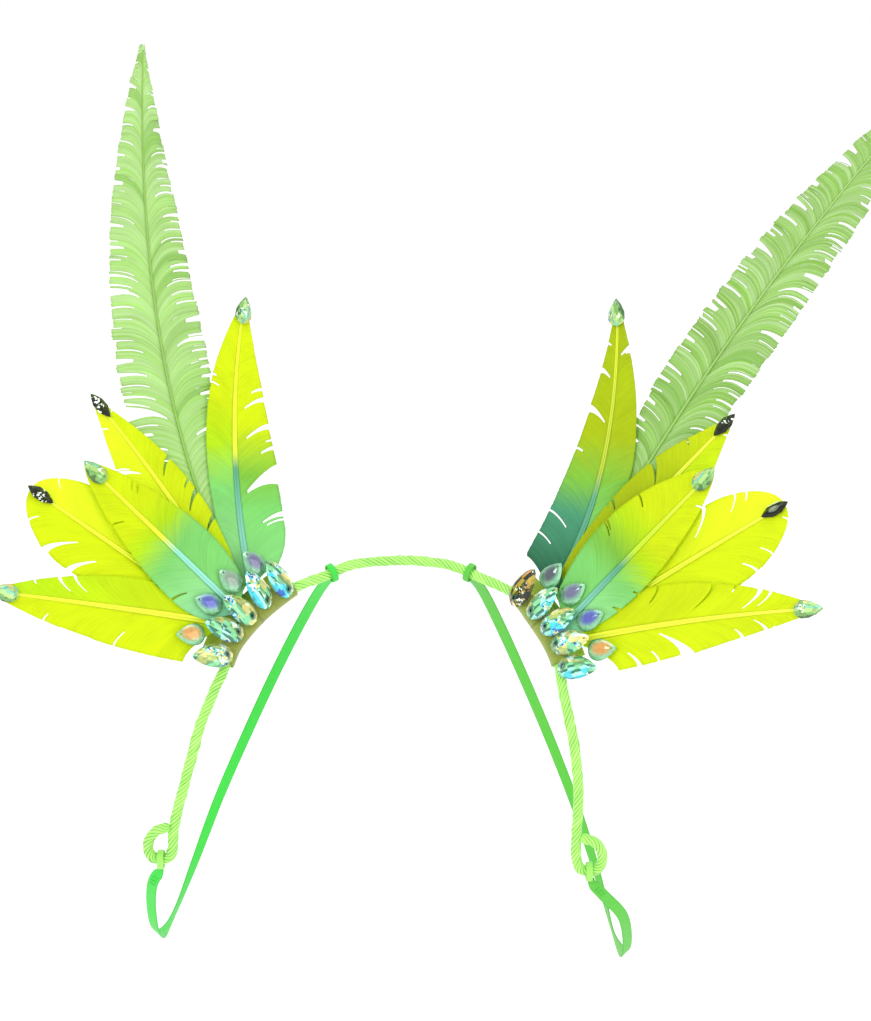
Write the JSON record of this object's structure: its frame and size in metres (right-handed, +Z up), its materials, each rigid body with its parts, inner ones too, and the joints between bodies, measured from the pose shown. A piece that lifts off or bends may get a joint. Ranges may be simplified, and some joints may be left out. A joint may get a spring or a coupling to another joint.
{
  "type": "feather shoulder wings",
  "caption": "Pair of feather shoulder wings on a bendable cord-wrapped wire that rests behind the neck, with drop stones and elastic under-arm straps.",
  "frame": {"origin": "middle of the wrapped wire behind the wearer's neck", "axes": "+Z up as worn, the wearer faces -Y, +X to the wearer's left"},
  "size_m": [0.6081, 0.2918, 0.6155],
  "materials": {
    "wire": "bendable round wire, hidden under the wound cord",
    "wrap_cord": "thin satin cord wound turn beside turn",
    "felt": "olive felt folded over the wire",
    "feather": "dyed, trimmed goose feathers, yellow to mint",
    "plume": "dyed, long loose-barbed plume",
    "large_stone": "faceted foil-backed acrylic drop with a rainbow coat",
    "small_stone": "smooth-fronted acrylic drop with a rainbow coat",
    "tip_stone": "faceted green acrylic drop with a rainbow coat",
    "olive_stone": "faceted dark olive acrylic",
    "elastic": "flat woven elastic"
  },
  "bodies": {
    "nape": {"nape_wire": "wire", "nape_wire_wrap": "wrap_cord"},
    "right_wing": {"right_wire": "wire", "right_wire_wrap": "wrap_cord", "right_felt": "felt", "right_plume": "plume", "right_feather_1": "feather", "right_tip_stone_1": "tip_stone", "right_feather_2": "feather", "right_tip_stone_2": "olive_stone", "right_feather_3": "feather", "right_tip_stone_3": "tip_stone", "right_feather_4": "feather", "right_tip_stone_4": "olive_stone", "right_feather_5": "feather", "right_tip_stone_5": "tip_stone", "right_large_stone_1": "large_stone", "right_large_stone_2": "large_stone", "right_large_stone_3": "large_stone", "right_large_stone_4": "large_stone", "right_large_stone_5": "large_stone", "right_small_stone_1": "small_stone", "right_small_stone_2": "small_stone", "right_small_stone_3": "small_stone", "right_small_stone_4": "small_stone"},
    "right_strap": {"right_strap": "elastic"},
    "left_wing": {"left_wire": "wire", "left_wire_wrap": "wrap_cord", "left_felt": "felt", "left_plume": "plume", "left_feather_1": "feather", "left_tip_stone_1": "tip_stone", "left_feather_2": "feather", "left_tip_stone_2": "olive_stone", "left_feather_3": "feather", "left_tip_stone_3": "tip_stone", "left_feather_4": "feather", "left_tip_stone_4": "olive_stone", "left_feather_5": "feather", "left_tip_stone_5": "tip_stone", "left_large_stone_1": "large_stone", "left_large_stone_2": "large_stone", "left_large_stone_3": "large_stone", "left_large_stone_4": "large_stone", "left_large_stone_5": "large_stone", "left_small_stone_1": "small_stone", "left_small_stone_2": "small_stone", "left_small_stone_3": "small_stone", "left_small_stone_4": "small_stone"},
    "left_strap": {"left_strap": "elastic"}
  },
  "joints": [
    {"name": "right_wing_bend", "type": "hinge", "parent": "nape", "child": "right_wing", "pos_m": [-0.036, -0.004, -0.0025], "axis": [0, 0, -1], "range_deg": [-15, 30]},
    {"name": "left_wing_bend", "type": "hinge", "parent": "nape", "child": "left_wing", "pos_m": [0.036, -0.004, -0.0025], "axis": [0, 0, 1], "range_deg": [-15, 30]},
    {"name": "right_strap_swing", "type": "hinge", "parent": "right_wing", "child": "right_strap", "pos_m": [-0.1632, -0.12, -0.1687], "axis": [0.503, 0.4851, 0.7153], "range_deg": [-12, 12]},
    {"name": "left_strap_swing", "type": "hinge", "parent": "left_wing", "child": "left_strap", "pos_m": [0.1294, -0.12, -0.1786], "axis": [-0.3668, 0.5011, 0.7838], "range_deg": [-12, 12]}
  ]
}
